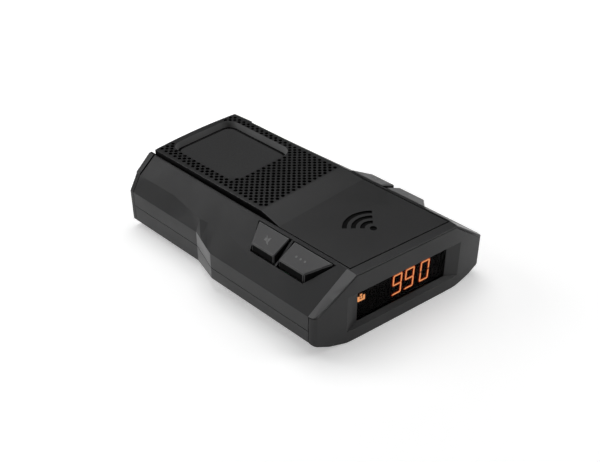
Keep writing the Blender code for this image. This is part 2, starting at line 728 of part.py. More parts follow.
# ---------------------------------------------------------------- electronics
def main_board():
    board = box("main_board", (-BOARD_HALF, BOARD_HALF), BOARD_Y, BOARD_Z, BOARD)
    for number, (x, y) in enumerate(both_sides(BOARD_SCREW_PLACES)):
        cut(board, rod(f"board_hole_{number}", (x, y, 5.0), 1.3, 8.0, segments=12))
    return board


def board_parts():
    """What stands on the main board, front to rear."""
    box("main_connector", (-9.0, 9.0), (19.9, 23.4), (PART_Z, PART_Z + 2.6), IVORY)
    box("gps_antenna", (-12.5, 12.5), (26.0, 51.0), (PART_Z, PART_Z + 4.0), CERAMIC)
    box("processor_shield", (-19.0, 3.0), (53.5, 66.0), (PART_Z, PART_Z + 2.8), STEEL)
    box("rf_shield", (-10.0, 10.0), (68.0, 75.4), (PART_Z, PART_Z + 3.6), STEEL)
    rod("backup_cell", (13.5, 58.5, PART_Z + 2.6), 5.0, 5.2, mat=STEEL)
    x, z = LASER_PLACE
    box("laser_board", (x - 3.4, x + 1.2), (102.2, 103.4), (PART_Z, z + 3.6), BOARD)
    turned("laser_lens", [(0.0, 0.0), (3.2, 0.0), (3.2, 1.6), (2.5, 2.4), (1.3, 3.0), (0.0, 3.2)],
           (0, 0, 0), SMOKED, 16)
    lens = bpy.data.objects["laser_lens"]
    lens.rotation_euler = (-math.pi / 2, 0, 0)
    lens.location = point(x, 108.2, z)


def horn_antenna():
    """The cast horn: a waveguide block that flares to a rectangular mouth facing the road."""
    low = PART_Z
    outer = ((76.0, 10.0, low + 2.0, low + 9.0), (84.0, 10.0, low + 2.0, low + 9.0),
             (113.4, 18.4, low, low + 14.0))
    wall = 1.0

    def rings(extra, rows):
        result = []
        for y, half, z0, z1 in rows:
            half, z0, z1 = half + extra, z0 - extra, z1 + extra
            result.append([point(-half, y, z0), point(half, y, z0), point(half, y, z1), point(-half, y, z1)])
        return result

    horn = loft("horn_antenna", rings(0.0, outer), ZINC)
    bore = ((79.0, 10.0, low + 2.0, low + 9.0), (84.0, 10.0, low + 2.0, low + 9.0),
            (117.0, 19.43, low - 0.25, low + 14.6))
    cut(horn, loft("horn_bore", rings(-wall, bore)))
    foot = box("horn_foot", (-10.0, 10.0), (77.0, 82.0), (low, low + 2.6))
    join(horn, foot)
    return horn


def speaker():
    """Basket, paper cone and magnet of the loudspeaker under the deck."""
    x, y = 0.0, SPEAKER_CENTRE
    rim_z = ridge_z(y + SPEAKER_RADIUS) - LEDGE_DEPTH - DECK - 0.4
    radius = SPEAKER_RADIUS
    turned("speaker_frame", [(radius, 0.0), (radius, -1.2), (13.0, -1.2), (9.2, -5.2), (4.6, -5.2),
                             (4.6, -4.2), (8.6, -4.2), (12.6, 0.0)], (x, y, rim_z), BLACK, 28)
    turned("speaker_cone", [(11.8, -0.2), (11.1, -1.0), (5.0, -3.8), (0.0, -3.1), (0.0, -2.6), (4.8, -3.2),
                            (10.9, -0.2)], (x, y, rim_z), PAPER, 28)
    rod("speaker_magnet", (x, y, rim_z - 5.5 - 1.9), 8.2, 3.8, mat=STEEL, segments=28)


def sockets():
    """Power inlet and data socket at the right wall."""
    y, z = JACK_PLACE
    jack = box("power_jack", (23.0, 33.4), (y - 4.5, y + 4.5), (PART_Z, z + 3.0), BLACK)
    join(jack, rod("jack_nose", (33.8, y, z), 2.6, 3.0, 'X', segments=20))
    cut(jack, rod("jack_bore", (33.0, y, z), 1.75, 14.0, 'X', segments=16))
    y, z = USB_PLACE
    usb = box("usb_socket", (28.6, 35.2), (y - 4.0, y + 4.0), (z - 1.4, z + 1.4), STEEL)
    cut(usb, box("usb_mouth", (30.0, 40.0), (y - 3.5, y + 3.5), (z - 0.9, z + 0.9)))


# ---------------------------------------------------------------- fasteners and label
def machine_screw(name, place, head_z, length, radius, head_radius, up):
    """A pan-head screw; up is 1 when its point is above its head and -1 when below."""
    head = 1.5
    profile = [(0.0, 0.0), (head_radius, 0.0), (head_radius, head), (radius, head),
               (radius, head + length), (0.0, head + length)]
    if up < 0:
        profile = [(r, -z) for r, z in reversed(profile)]
    screw = turned(name, profile, (place[0], place[1], head_z), STEEL, 14)
    return screw


def screws():
    for number, place in enumerate(both_sides(BOSS_PLACES), 1):
        machine_screw(f"housing_screw_{number}", place, 0.5, 14.0, 1.2, 2.5, 1)
    for number, place in enumerate(both_sides(BOARD_SCREW_PLACES), 1):
        machine_screw(f"board_screw_{number}", place, PART_Z + 1.5, 3.6, 0.9, 1.9, -1)
    for number, place in enumerate(both_sides(BUTTON_POST_PLACES), 1):
        machine_screw(f"button_board_screw_{number}", place, BUTTON_BOARD_Z[1] + FIT_GAP + 1.5, 4.0, 0.7, 1.6, -1)


def rating_label():
    return box("rating_label", (-20.6, 20.6), (44.4, 71.6), (0.1, 0.4), LABEL)


lower_housing()
upper_housing()
top_panel()
pocket_plate()
front_bezel()
display_stack()
ribbon_cable()
rear_cap()
rear_window()
buttons()
main_board()
board_parts()
horn_antenna()
speaker()
sockets()
screws()
rating_label()
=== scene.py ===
"""The looks of the windshield radar detector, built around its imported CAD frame.

Millimetre helpers use the same frame as the CAD part: x to the right, y back from the
middle of the front face, z up from the underside. point() turns them into metres.
"""
import json
import math

import bmesh
import bpy
from mathutils import Matrix, Vector

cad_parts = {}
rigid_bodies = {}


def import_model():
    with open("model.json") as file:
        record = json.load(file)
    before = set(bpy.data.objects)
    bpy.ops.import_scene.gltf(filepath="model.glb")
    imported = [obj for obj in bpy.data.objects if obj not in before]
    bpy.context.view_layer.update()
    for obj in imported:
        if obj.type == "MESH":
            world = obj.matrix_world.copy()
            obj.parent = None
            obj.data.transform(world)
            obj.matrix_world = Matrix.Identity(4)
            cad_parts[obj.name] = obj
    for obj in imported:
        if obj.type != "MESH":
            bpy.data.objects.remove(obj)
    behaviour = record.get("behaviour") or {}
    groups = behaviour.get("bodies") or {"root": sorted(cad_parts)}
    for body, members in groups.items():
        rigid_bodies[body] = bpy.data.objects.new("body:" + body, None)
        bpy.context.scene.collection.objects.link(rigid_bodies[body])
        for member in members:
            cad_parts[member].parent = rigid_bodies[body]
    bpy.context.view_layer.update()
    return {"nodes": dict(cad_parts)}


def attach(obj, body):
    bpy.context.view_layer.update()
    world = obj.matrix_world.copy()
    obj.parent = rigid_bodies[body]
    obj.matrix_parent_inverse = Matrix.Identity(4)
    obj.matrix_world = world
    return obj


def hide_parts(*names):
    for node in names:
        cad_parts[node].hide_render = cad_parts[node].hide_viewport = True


for old in list(bpy.data.objects):
    bpy.data.objects.remove(old, do_unlink=True)

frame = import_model()

MM = 0.001
REAR = 118.9              # middle of the road end, from the middle of the display face
FRONT_LEAD = 4.0          # how far the face's leading corner stands ahead of its middle
FACE_SLOPE = -0.1394      # the display face is turned a little towards the driver's side
RIM_DEPTH = 4.2           # depth of the chamfered strip around the front
STEP_SPAN = (61.0, 76.5)  # where the side walls step in

PIECES = bpy.data.collections.new("looks")
bpy.context.scene.collection.children.link(PIECES)


# ---------------------------------------------------------------- places
def point(x, y, z):
    """Millimetres of the part's own frame, as metres of the scene."""
    return Vector((x * MM, (y - (REAR - FRONT_LEAD) / 2) * MM, z * MM))


def face_point(u, v, z):
    """u along the front face, v squarely behind it, z up."""
    turn = math.atan(FACE_SLOPE)
    return point(u * math.cos(turn) - v * math.sin(turn), u * math.sin(turn) + v * math.cos(turn), z)


# ---------------------------------------------------------------- materials
class Look:
    """A Principled material that is put together step by step."""

    def __init__(self, name, colour, roughness, metallic=0.0, **sockets):
        self.mat = bpy.data.materials.new(name)
        self.mat.use_nodes = True
        self.tree = self.mat.node_tree
        self.shader = self.tree.nodes["Principled BSDF"]
        self.shader.inputs["Base Color"].default_value = (*colour, 1.0)
        self.shader.inputs["Roughness"].default_value = roughness
        self.shader.inputs["Metallic"].default_value = metallic
        for label, value in sockets.items():
            self.shader.inputs[label.replace("_", " ")].default_value = value
        self.colour = colour
        self.roughness = roughness
        self.place = self.node("ShaderNodeTexCoord").outputs["Object"]

    def node(self, kind, **values):
        """A new shader node with some of its settings."""
        made = self.tree.nodes.new(kind)
        for label, value in values.items():
            setattr(made, label, value)
        return made

    def link(self, a, b):
        """Join an output to an input."""
        self.tree.links.new(a, b)

    def noise(self, scale, detail=2.0, stretch=None):
        """Noise between 0 and 1; scale is in features per metre."""
        made = self.node("ShaderNodeTexNoise")
        made.inputs["Scale"].default_value = scale
        made.inputs["Detail"].default_value = detail
        place = self.place
        if stretch is not None:
            mapping = self.node("ShaderNodeMapping")
            mapping.inputs["Scale"].default_value = stretch
            self.link(place, mapping.inputs["Vector"])
            place = mapping.outputs["Vector"]
        self.link(place, made.inputs["Vector"])
        return made.outputs["Fac"]

    def between(self, value, low, high, start=0.3, end=0.7):
        """Spread a value between start and end over low to high."""
        made = self.node("ShaderNodeMapRange")
        made.inputs["From Min"].default_value = start
        made.inputs["From Max"].default_value = end
        made.inputs["To Min"].default_value = low
        made.inputs["To Max"].default_value = high
        self.link(value, made.inputs["Value"])
        return made.outputs["Result"]

    def blend(self, factor, a, b):
        """A colour between a and b; either may be a colour or an output."""
        made = self.node("ShaderNodeMix", data_type='RGBA')
        self.link(factor, made.inputs[0])
        for socket, value in ((6, a), (7, b)):
            if isinstance(value, tuple):
                made.inputs[socket].default_value = (*value, 1.0)
            else:
                self.link(value, made.inputs[socket])
        return made.outputs[2]

    def bump(self, value, height, strength=1.0, under=None):
        """Relief of a height in metres, laid over another relief when given."""
        made = self.node("ShaderNodeBump")
        made.inputs["Strength"].default_value = strength
        made.inputs["Distance"].default_value = height
        self.link(value, made.inputs["Height"])
        if under is not None:
            self.link(under, made.inputs["Normal"])
        self.link(made.outputs["Normal"], self.shader.inputs["Normal"])
        return made.outputs["Normal"]

    def vary_roughness(self, value, spread):
        """Let a value move the roughness up and down by a spread."""
        low = max(0.02, self.roughness - spread)
        self.link(self.between(value, low, self.roughness + spread), self.shader.inputs["Roughness"])

    def paint(self, colour):
        """Take the base colour from an output."""
        self.link(colour, self.shader.inputs["Base Color"])


def scaled(colour, factor):
    """A colour made lighter or darker."""
    return tuple(c * factor for c in colour)


def moulded_plastic(name, colour, roughness, grain=0.00025, relief=0.000012, wear=1.5, **sockets):
    """Textured moulding: a fine grain, cloudy gloss and slightly rubbed edges."""
    look = Look(name, colour, roughness, **sockets)
    fine = look.noise(1.0 / grain, 1.5)
    cloud = look.noise(55.0, 3.0)
    look.vary_roughness(cloud, 0.05)
    tone = look.blend(look.between(cloud, 0.0, 1.0), scaled(colour, 0.90), scaled(colour, 1.10))
    edges = look.between(look.node("ShaderNodeNewGeometry").outputs["Pointiness"], 0.0, 1.0, 0.52, 0.60)
    look.paint(look.blend(edges, tone, scaled(colour, wear)))
    look.bump(look.between(fine, 0.0, 1.0), relief, 0.6)
    return look.mat


def metal(name, colour, roughness, stretch, relief):
    """Metal with a drawn or cast surface."""
    look = Look(name, colour, roughness, 1.0)
    lines = look.noise(900.0, 3.0, stretch)
    cloud = look.noise(70.0, 2.0)
    look.vary_roughness(cloud, 0.08)
    look.paint(look.blend(look.between(lines, 0.0, 1.0), scaled(colour, 0.82), scaled(colour, 1.05)))
    look.bump(lines, relief, 0.5)
    return look.mat


def circuit_board():
    """Solder mask over a weave, with the copper showing through as lighter runs."""
    green = (0.010, 0.085, 0.032)
    look = Look("circuit_board", green, 0.38, Coat_Weight=0.4)
    brick = look.node("ShaderNodeTexBrick")
    brick.inputs["Scale"].default_value = 260.0
    brick.inputs["Mortar Size"].default_value = 0.03
    brick.inputs["Color1"].default_value = (*green, 1.0)
    brick.inputs["Color2"].default_value = (*scaled(green, 1.25), 1.0)
    brick.inputs["Mortar"].default_value = (*scaled(green, 1.8), 1.0)
    look.link(look.place, brick.inputs["Vector"])
    look.paint(brick.outputs["Color"])
    look.vary_roughness(look.noise(300.0), 0.08)
    look.bump(brick.outputs["Fac"], 0.00003, 0.4)
    return look.mat


def fibrous(name, colour, roughness, scale, relief):
    """Paper, ceramic or rubber: a soft speckle and a matching relief."""
    look = Look(name, colour, roughness)
    speck = look.noise(scale, 4.0)
    look.vary_roughness(speck, 0.06)
    look.paint(look.blend(look.between(speck, 0.0, 1.0), scaled(colour, 0.85), scaled(colour, 1.12)))
    look.bump(speck, relief, 0.6)
    return look.mat


def smoked_acrylic(name, ior):
    """A dark, clear window with a faint polish haze; the coated one reflects little."""
    look = Look(name, (0.12, 0.115, 0.115), 0.03, IOR=ior, Transmission_Weight=1.0)
    haze = look.noise(120.0, 3.0)
    look.vary_roughness(haze, 0.02)
    return look.mat


def glowing(name, colour, strength):
    """A lit segment, its glow varying a little in a fine grain."""
    look = Look(name, scaled(colour, 0.2), 0.6, Emission_Strength=strength)
    grain = look.between(look.noise(1500.0), 0.0, 1.0)
    look.link(look.blend(grain, scaled(colour, 0.85), colour), look.shader.inputs["Emission Color"])
    return look.mat


LOOKS = {
    "shell_plastic": moulded_plastic("shell_plastic", (0.008, 0.008, 0.0085), 0.46,
                                     Specular_IOR_Level=0.35),
    "panel_plastic": moulded_plastic("panel_plastic", (0.009, 0.009, 0.0095), 0.46,
                                     Specular_IOR_Level=0.4),
    "button_plastic": moulded_plastic("button_plastic", (0.046, 0.046, 0.047), 0.42, wear=1.4,
                                      Specular_IOR_Level=0.4),
    "smoked_acrylic": smoked_acrylic("smoked_acrylic", 1.45),
    "pad_rubber": fibrous("pad_rubber", (0.009, 0.009, 0.0095), 0.55, 1400.0, 0.00001),
    "circuit_board": circuit_board(),
    "component_black": moulded_plastic("component_black", (0.012, 0.012, 0.012), 0.42),
    "connector_ivory": moulded_plastic("connector_ivory", (0.66, 0.61, 0.50), 0.45, wear=1.05),
    "ceramic": fibrous("ceramic", (0.58, 0.46, 0.29), 0.48, 900.0, 0.00001),
    "steel": metal("steel", (0.52, 0.52, 0.53), 0.30, (1.0, 14.0, 1.0), 0.000004),
    "cast_zinc": metal("cast_zinc", (0.42, 0.43, 0.45), 0.42, (1.0, 1.0, 1.0), 0.00002),
    "cone_paper": fibrous("cone_paper", (0.07, 0.07, 0.07), 0.88, 1100.0, 0.00003),
    "label_film": fibrous("label_film", (0.34, 0.34, 0.35), 0.42, 500.0, 0.000003),
}
# Painted highlight: a far lighter copy of the shell plastic, for faces that the light catches.
PAINTED_HIGHLIGHT_PLASTIC = moulded_plastic("painted_highlight_plastic", (0.085, 0.085, 0.086), 0.40)
# Painted highlight along the rounded edges.
EDGE_HIGHLIGHT = moulded_plastic("edge_plastic", (0.045, 0.045, 0.046), 0.38)
# Painted highlight along the buttons' rounded edges.
KEY_EDGE_HIGHLIGHT = moulded_plastic("painted_key_edge_highlight", (0.070, 0.070, 0.071), 0.36)
# Painted highlight: a light copy of the panel plastic for the pocket's walls, where the light falls.
POCKET_WALL_HIGHLIGHT = moulded_plastic("painted_pocket_wall_highlight", (0.20, 0.20, 0.201), 0.40)
COATED = smoked_acrylic("coated_window", 1.06)
# Near-black for painted shade in gaps, holes, recesses and on shaded sides; the label's printed frame
# uses it as print.
SHADE_AND_PRINT_BLACK = moulded_plastic("painted_shade_and_print_black", (0.003, 0.003, 0.003), 0.80, Specular_IOR_Level=0.1)
ICON_INK = moulded_plastic("icon_ink", (0.17, 0.17, 0.17), 0.5, wear=1.0)
LIT = glowing("lit_segment", (1.0, 0.42, 0.16), 7.0)
HALO = glowing("lit_halo", (1.0, 0.08, 0.01), 2.2)
UNLIT = moulded_plastic("unlit_segment", (0.22, 0.19, 0.18), 0.5, wear=1.0)
# Painted highlight: a lighter copy of the panel plastic for the slope in front of the raised part.
SLOPE_HIGHLIGHT = moulded_plastic("painted_slope_highlight", (0.017, 0.017, 0.0175), 0.44, Specular_IOR_Level=0.4)

for obj in frame["nodes"].values():
    for holder in obj.material_slots:
        holder.material = LOOKS[holder.material.name.split(".")[0]]


# ---------------------------------------------------------------- mesh helpers
def welded(name):
    """A CAD node's mesh as a closed bmesh with its flat facets joined."""
    shape = bmesh.new()
    shape.from_mesh(frame["nodes"][name].data)
    bmesh.ops.remove_doubles(shape, verts=shape.verts, dist=1e-6)
    bmesh.ops.dissolve_limit(shape, angle_limit=math.radians(0.3), verts=shape.verts, edges=shape.edges)
    return shape


CRISP = 5.5            # degrees from which an edge that isn't rounded is shaded crisp
CRISP_AT_STEP = 14.0   # the same among the twisted facets behind the step
TWISTED_SPAN = (62.5, 76.5)
SHORTEST_EDGE = 0.5


def soften(shape, width, segments=2, angle=24.0, edge_highlight_look=-1):
    """Round the convex edges of a shape by a small radius; the shallower ones stay crisp.

    Around the step in the side walls the twisted facets are shaded as one smooth surface.
    """
    step_front, step_rear = (point(0, y, 0).y for y in TWISTED_SPAN)
    edges = []
    for edge in shape.edges:
        if len(edge.link_faces) != 2:
            continue
        turn = edge.calc_face_angle_signed(0.0)
        if turn > math.radians(angle) and edge.calc_length() > SHORTEST_EDGE * MM:
            edges.append(edge)
            continue
        middle = (edge.verts[0].co.y + edge.verts[1].co.y) / 2
        crisp = CRISP_AT_STEP if step_front < middle < step_rear else CRISP
        if abs(turn) > math.radians(crisp):
            edge.smooth = False
    # The new rounded faces may take a look of their own, a painted edge highlight.
    bmesh.ops.bevel(shape, geom=edges, offset=width * MM, offset_type='OFFSET', segments=segments,
                    profile=0.5, affect='EDGES', clamp_overlap=True, loop_slide=True, material=edge_highlight_look)
    return shape


def piece(name, shape, materials, body="case", stands_for=(), sharp=40.0):
    """Put a bmesh in the scene as a shown piece that rides on a body."""
    bmesh.ops.recalc_face_normals(shape, faces=shape.faces)
    mesh = bpy.data.meshes.new(name)
    shape.to_mesh(mesh)
    shape.free()
    if sharp:
        mesh.shade_smooth()
        mesh.set_sharp_from_angle(angle=math.radians(sharp))
    else:
        mesh.polygons.foreach_set("use_smooth", [True] * len(mesh.polygons))
    for mat in materials:
        mesh.materials.append(mat)
    obj = bpy.data.objects.new(name, mesh)
    PIECES.objects.link(obj)
    even = obj.modifiers.new("even_shading", 'WEIGHTED_NORMAL')
    even.keep_sharp = True
    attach(obj, body)
    if stands_for:
        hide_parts(*stands_for)
    return obj


def refined(node, width, slot, body="case", segments=2, angle=24.0, other=None, chosen=None,
            edge=None):
    """The CAD node again, with rounded edges and even shading.

    Another look may take the place of the slot's, on the whole piece or on chosen faces, and
    the rounded edges may have a look of their own, a painted edge highlight. The looks on
    chosen faces here are painted highlight, painted shade or the coated window.
    the rounded edges may have a look of their own.
    """
    shape = welded(node)
    looks = [other or LOOKS[slot]]
    if chosen:
        looks = [LOOKS[slot], other]
        for face in shape.faces:
            if chosen(face):
                face.material_index = 1
    if edge:
        looks.append(edge)
    soften(shape, width, segments, angle, edge_highlight_look=len(looks) - 1 if edge else -1)
    return piece(f"{node}_finish", shape, looks, body, (node,), None)


def disc(centre, radius, steps=14):
    """Corners of a round outline."""
    return [(centre[0] + radius * math.cos(math.tau * i / steps),
             centre[1] + radius * math.sin(math.tau * i / steps)) for i in range(steps)]


def plate(shape, corners, thickness_vector):
    """A thin closed plate on an outline of points, raised by a vector."""
    low = [shape.verts.new(p) for p in corners]
    high = [shape.verts.new(p + thickness_vector) for p in corners]
    shape.faces.new(list(reversed(low)))
    shape.faces.new(high)
    count = len(corners)
    for i in range(count):
        j = (i + 1) % count
        shape.faces.new((low[i], low[j], high[j], high[i]))


def carved(name, shape, tools, looks):
    """A bmesh with other bmeshes cut out of it, all carrying the same list of looks."""
    made = []
    labelled = [(name, shape)] + [(f"{name}_tool_{i}", tool) for i, tool in enumerate(tools)]
    for label, part in labelled:
        bmesh.ops.recalc_face_normals(part, faces=part.faces)
        mesh = bpy.data.meshes.new(label)
        part.to_mesh(mesh)
        part.free()
        for mat in looks:
            mesh.materials.append(mat)
        obj = bpy.data.objects.new(label, mesh)
        PIECES.objects.link(obj)
        made.append(obj)
    base = made[0]
    for tool in made[1:]:
        step = base.modifiers.new(tool.name, 'BOOLEAN')
        step.operation = 'DIFFERENCE'
        step.solver = 'MANIFOLD'
        step.object = tool
    bpy.context.view_layer.update()
    done = bmesh.new()
    done.from_mesh(base.evaluated_get(bpy.context.evaluated_depsgraph_get()).to_mesh())
    for obj in made:
        mesh = obj.data
        bpy.data.objects.remove(obj, do_unlink=True)
        bpy.data.meshes.remove(mesh)
    return done


# ---------------------------------------------------------------- housings and caps
def painted_highlight_face(face):
    """The faces given a painted highlight: the sloping ends of the upper housing's front rim, and the
    step in the side walls.
    """
    if abs(face.normal.z) < 0.3:
        y = face.calc_center_median().y
        step_front, step_rear = (point(0, place, 0).y for place in STEP_SPAN)
        return step_front < y < step_rear and face.normal.y > 0.15 and abs(face.normal.x) > 0.5
    if face.normal.z < 0.3 or abs(face.normal.x) < 0.25:
        return False
    slack = 0.15 * MM
    for vertex in face.verts:
        x, y, _ = vertex.co
        if y > point(0, RIM_DEPTH, 0).y + FACE_SLOPE * x + slack:
            return False
    return True


def key_side_in_shade(face):
    """The upright sides of a button, which take painted shade."""
    return face.normal.z < 0.3


HOUSING_ROUND = 0.20
PAD_SHADOW_LINE = 0.55      # width of the painted shadow line around the pocket's pad


def pocket_pad():
    """The pad in the pocket, with a painted shadow line along its edge: a flat inset ring in near-black.
    """
    shape = soften(welded("pocket_plate"), HOUSING_ROUND, 3)
    top = [face for face in shape.faces if face.normal.z > 0.95]
    shadow_ring = bmesh.ops.inset_individual(shape, faces=top, thickness=PAD_SHADOW_LINE * MM,
                                        use_even_offset=True)
    for face in shadow_ring["faces"]:
        face.material_index = 1
    return piece("pocket_plate_finish", shape, [LOOKS["pad_rubber"], SHADE_AND_PRINT_BLACK], "case",
                 ("pocket_plate",))


# The housings: painted highlight on the rim ends, on the step and along the rounded edges.
for housing in ("upper_housing", "lower_housing"):
    refined(housing, HOUSING_ROUND, "shell_plastic", other=PAINTED_HIGHLIGHT_PLASTIC, chosen=painted_highlight_face, edge=EDGE_HIGHLIGHT)
refined("front_bezel", HOUSING_ROUND, "shell_plastic", edge=EDGE_HIGHLIGHT)
refined("rear_cap", 0.25, "shell_plastic", edge=EDGE_HIGHLIGHT)
pocket_pad()
refined("rear_window", 0.15, "smoked_acrylic")
refined("display_window", 0.12, "smoked_acrylic", other=COATED)
# Buttons: painted shade on their upright sides, painted highlight along their rounded edges.
for side in ("left", "right"):
    for end in ("front", "rear"):
        refined(f"button_{side}_{end}", 0.14, "button_plastic", f"button_{side}_{end}", angle=20.0,
                other=SHADE_AND_PRINT_BLACK, chosen=key_side_in_shade, edge=KEY_EDGE_HIGHLIGHT)
refined("usb_socket", 0.12, "steel")
refined("power_jack", 0.12, "component_black")


# ---------------------------------------------------------------- screws and label
SCREW_PLACES = ((-21.8, 16.0), (21.8, 16.0), (-21.8, 109.4), (21.8, 109.4))
SCREW_LOOKS = [LOOKS["steel"], SHADE_AND_PRINT_BLACK]
CROSS_ARMS = ((1.55, 0.34), (0.34, 1.55))
CROSS_Z = (0.2, 1.5)
CROSS_TAPER = 0.55
SQUARE = ((1, 1), (-1, 1), (-1, -1), (1, -1))


def cross_arm(x, y, wide, deep):
    """One arm of the cross sunk into a screw's head, narrowing as it goes in."""
    shape = bmesh.new()
    rings = []
    for z, scale in zip(CROSS_Z, (1.0, CROSS_TAPER)):
        rings.append([shape.verts.new(point(x + sx * wide * scale, y + sy * deep * scale, z))
                      for sx, sy in SQUARE])
        shape.faces.new(rings[-1])
    near, far = rings
    for i in range(4):
        j = (i + 1) % 4
        shape.faces.new((near[i], near[j], far[j], far[i]))
    # The arm's faces take the near-black: painted shade in the cross.
    for face in shape.faces:
        face.material_index = 1
    return shape


def housing_screw(number, x, y):
    """A screw of the underside, with rounded edges and a cross in its head."""
    node = f"housing_screw_{number}"
    arms = [cross_arm(x, y, wide, deep) for wide, deep in CROSS_ARMS]
    shape = carved(f"{node}_cut", soften(welded(node), 0.30, 3), arms, SCREW_LOOKS)
    return piece(f"{node}_finish", shape, SCREW_LOOKS, "case", (node,))


for number, place in enumerate(SCREW_PLACES, 1):
    housing_screw(number, *place)

LABEL_Y = 58.0
LABEL_Z = 0.14


def label_outline(half_x, half_y, radius, steps=6):
    """A rounded rectangle around the middle of the rating label."""
    corners = []
    for turn, (sx, sy) in enumerate(SQUARE):
        for i in range(steps + 1):
            angle = math.pi / 2 * (turn + i / steps)
            corners.append((sx * (half_x - radius) + radius * math.cos(angle),
                            LABEL_Y + sy * (half_y - radius) + radius * math.sin(angle)))
    return corners


def rating_label():
    """The plain film on the underside."""
    film = bmesh.new()
    plate(film, [point(x, y, LABEL_Z) for x, y in label_outline(20.5, 13.5, 1.6)],
          Vector((0, 0, 0.26 * MM)))
    return piece("rating_label_finish", film, [LOOKS["label_film"]], "case", ("rating_label",))


def label_border():
    """A thin printed frame on the film."""
    shape = bmesh.new()
    outer, inner = label_outline(19.6, 12.6, 1.1), label_outline(19.2, 12.2, 0.8)
    low, high = 0.10, 0.135
    rows = [[shape.verts.new(point(x, y, z)) for x, y in ring]
            for ring, z in ((outer, low), (inner, low), (inner, high), (outer, high))]
    for row, following in zip(rows, rows[1:] + rows[:1]):
        for i in range(len(row)):
            j = (i + 1) % len(row)
            shape.faces.new((row[i], row[j], following[j], following[i]))
    return piece("rating_label_border", shape, [SHADE_AND_PRINT_BLACK])


rating_label()
label_border()

# ---------------------------------------------------------------- top panel
FLAT_Z = 30.1             # top of the flat front part of the panel
BAND_REAR = 53.0          # where the slope up from it ends
RAISED_Z = (31.6, 31.3)   # height of the raised part at its two ends
SHELL_REAR = 116.0
PANEL_REAR = 118.2
PANEL_BOW = 1.1           # how much the panel's rear edge bows out
RAISED_HALF = 22.0
POCKET_CENTRE = (0.9, 95.6)
POCKET_EDGE = (16.5, 19.7)
POCKET_CORNER = 5.4
POCKET_FLOOR_Z = 28.7
PANEL_LOOKS = [LOOKS["panel_plastic"], SHADE_AND_PRINT_BLACK, POCKET_WALL_HIGHLIGHT, EDGE_HIGHLIGHT, SLOPE_HIGHLIGHT]
HOLE_PITCH = (2.909, 2.845)
HOLE_CENTRE = (0.907, 95.81)
HOLE_RADIUS = 0.76
HOLE_MOUTH = 0.94         # radius just above the surface, for the countersink
HOLE_SIDES = 12
HOLE_MARGIN = 1.2
HOLE_TO_POCKET = 0.15
HOLE_DEPTH = 1.9
DEEP_HOLE_DEPTH = 2.9
DEEP_HOLE_SPAN = (56.5, 73.4)


def raised_z(y):
    """Height of the panel's raised part."""
    t = (y - BAND_REAR) / (SHELL_REAR - BAND_REAR)
    return RAISED_Z[0] + (RAISED_Z[1] - RAISED_Z[0]) * t


def meets_pocket(x, y):
    """Whether a hole would reach the pocket, whose corners are round."""
    dx = abs(x - POCKET_CENTRE[0]) - POCKET_EDGE[0]
    dy = abs(y - POCKET_CENTRE[1]) - POCKET_EDGE[1]
    reach = HOLE_RADIUS + HOLE_TO_POCKET
    if dx >= reach or dy >= reach:
        return False
    inside_x, inside_y = dx + POCKET_CORNER, dy + POCKET_CORNER
    past_corner = math.hypot(inside_x, inside_y) > POCKET_CORNER + reach
    return not (inside_x > 0 and inside_y > 0 and past_corner)


def hole_places():
    """A quincunx of holes over the raised part, clear of its edges and of the pocket."""
    places = []
    for row in range(-32, 18):
        y = HOLE_CENTRE[1] + row * HOLE_PITCH[1] / 2
        if not BAND_REAR + 1.0 <= y <= PANEL_REAR - PANEL_BOW - HOLE_MARGIN:
            continue
        shift = 0.5 * (row % 2)
        for column in range(-9, 10):
            x = HOLE_CENTRE[0] + (column + shift) * HOLE_PITCH[0]
            if abs(x) > RAISED_HALF - HOLE_MARGIN or meets_pocket(x, y):
                continue
            places.append((x, y))
    return places


def hole_cutter():
    """One mesh of blind, slightly countersunk holes; their inner walls and floors carry painted shade.
    """
    shape = bmesh.new()
    for x, y in hole_places():
        top = raised_z(y)
        depth = DEEP_HOLE_DEPTH if DEEP_HOLE_SPAN[0] < y < DEEP_HOLE_SPAN[1] else HOLE_DEPTH
        rings = ((HOLE_MOUTH, top + 0.12), (HOLE_RADIUS, top - 0.10), (HOLE_RADIUS, top - depth))
        rows = []
        for radius, z in rings:
            rows.append([shape.verts.new(point(*corner, z))
                         for corner in disc((x, y), radius, HOLE_SIDES)])
        for level, (upper, lower) in enumerate(zip(rows, rows[1:])):
            for i in range(HOLE_SIDES):
                j = (i + 1) % HOLE_SIDES
                face = shape.faces.new((lower[i], lower[j], upper[j], upper[i]))
                face.material_index = level
        shape.faces.new(rows[0])
        bottom = shape.faces.new(list(reversed(rows[-1])))
        bottom.material_index = 1
    return shape


EMBLEM_CENTRE = (0.5, 17.2)
EMBLEM_DOT = 1.35
EMBLEM_ARCS = ((3.1, 4.9), (6.4, 8.2), (9.7, 11.5))
EMBLEM_SPREAD = math.radians(46.0)
EMBLEM_DEPTH = 0.55


def emblem_cutter():
    """A plain signal sign to sink into the panel: a dot and three arcs."""
    shape = bmesh.new()
    low, high = FLAT_Z - EMBLEM_DEPTH, 31.0
    outlines = [disc(EMBLEM_CENTRE, EMBLEM_DOT, 20)]
    steps = 16
    for inner, outer in EMBLEM_ARCS:
        outline = []
        for radius, order in ((outer, range(steps + 1)), (inner, range(steps, -1, -1))):
            for i in order:
                angle = math.pi / 2 - EMBLEM_SPREAD + 2 * EMBLEM_SPREAD * i / steps
                outline.append((EMBLEM_CENTRE[0] + radius * math.cos(angle),
                                EMBLEM_CENTRE[1] + radius * math.sin(angle)))
        outlines.append(outline)
    for outline in outlines:
        plate(shape, [point(x, y, low) for x, y in outline], point(0, 0, high) - point(0, 0, low))
    # The sunk walls and floor of the sign take the near-black: painted shade.
    for face in shape.faces:
        face.material_index = 1
    return shape


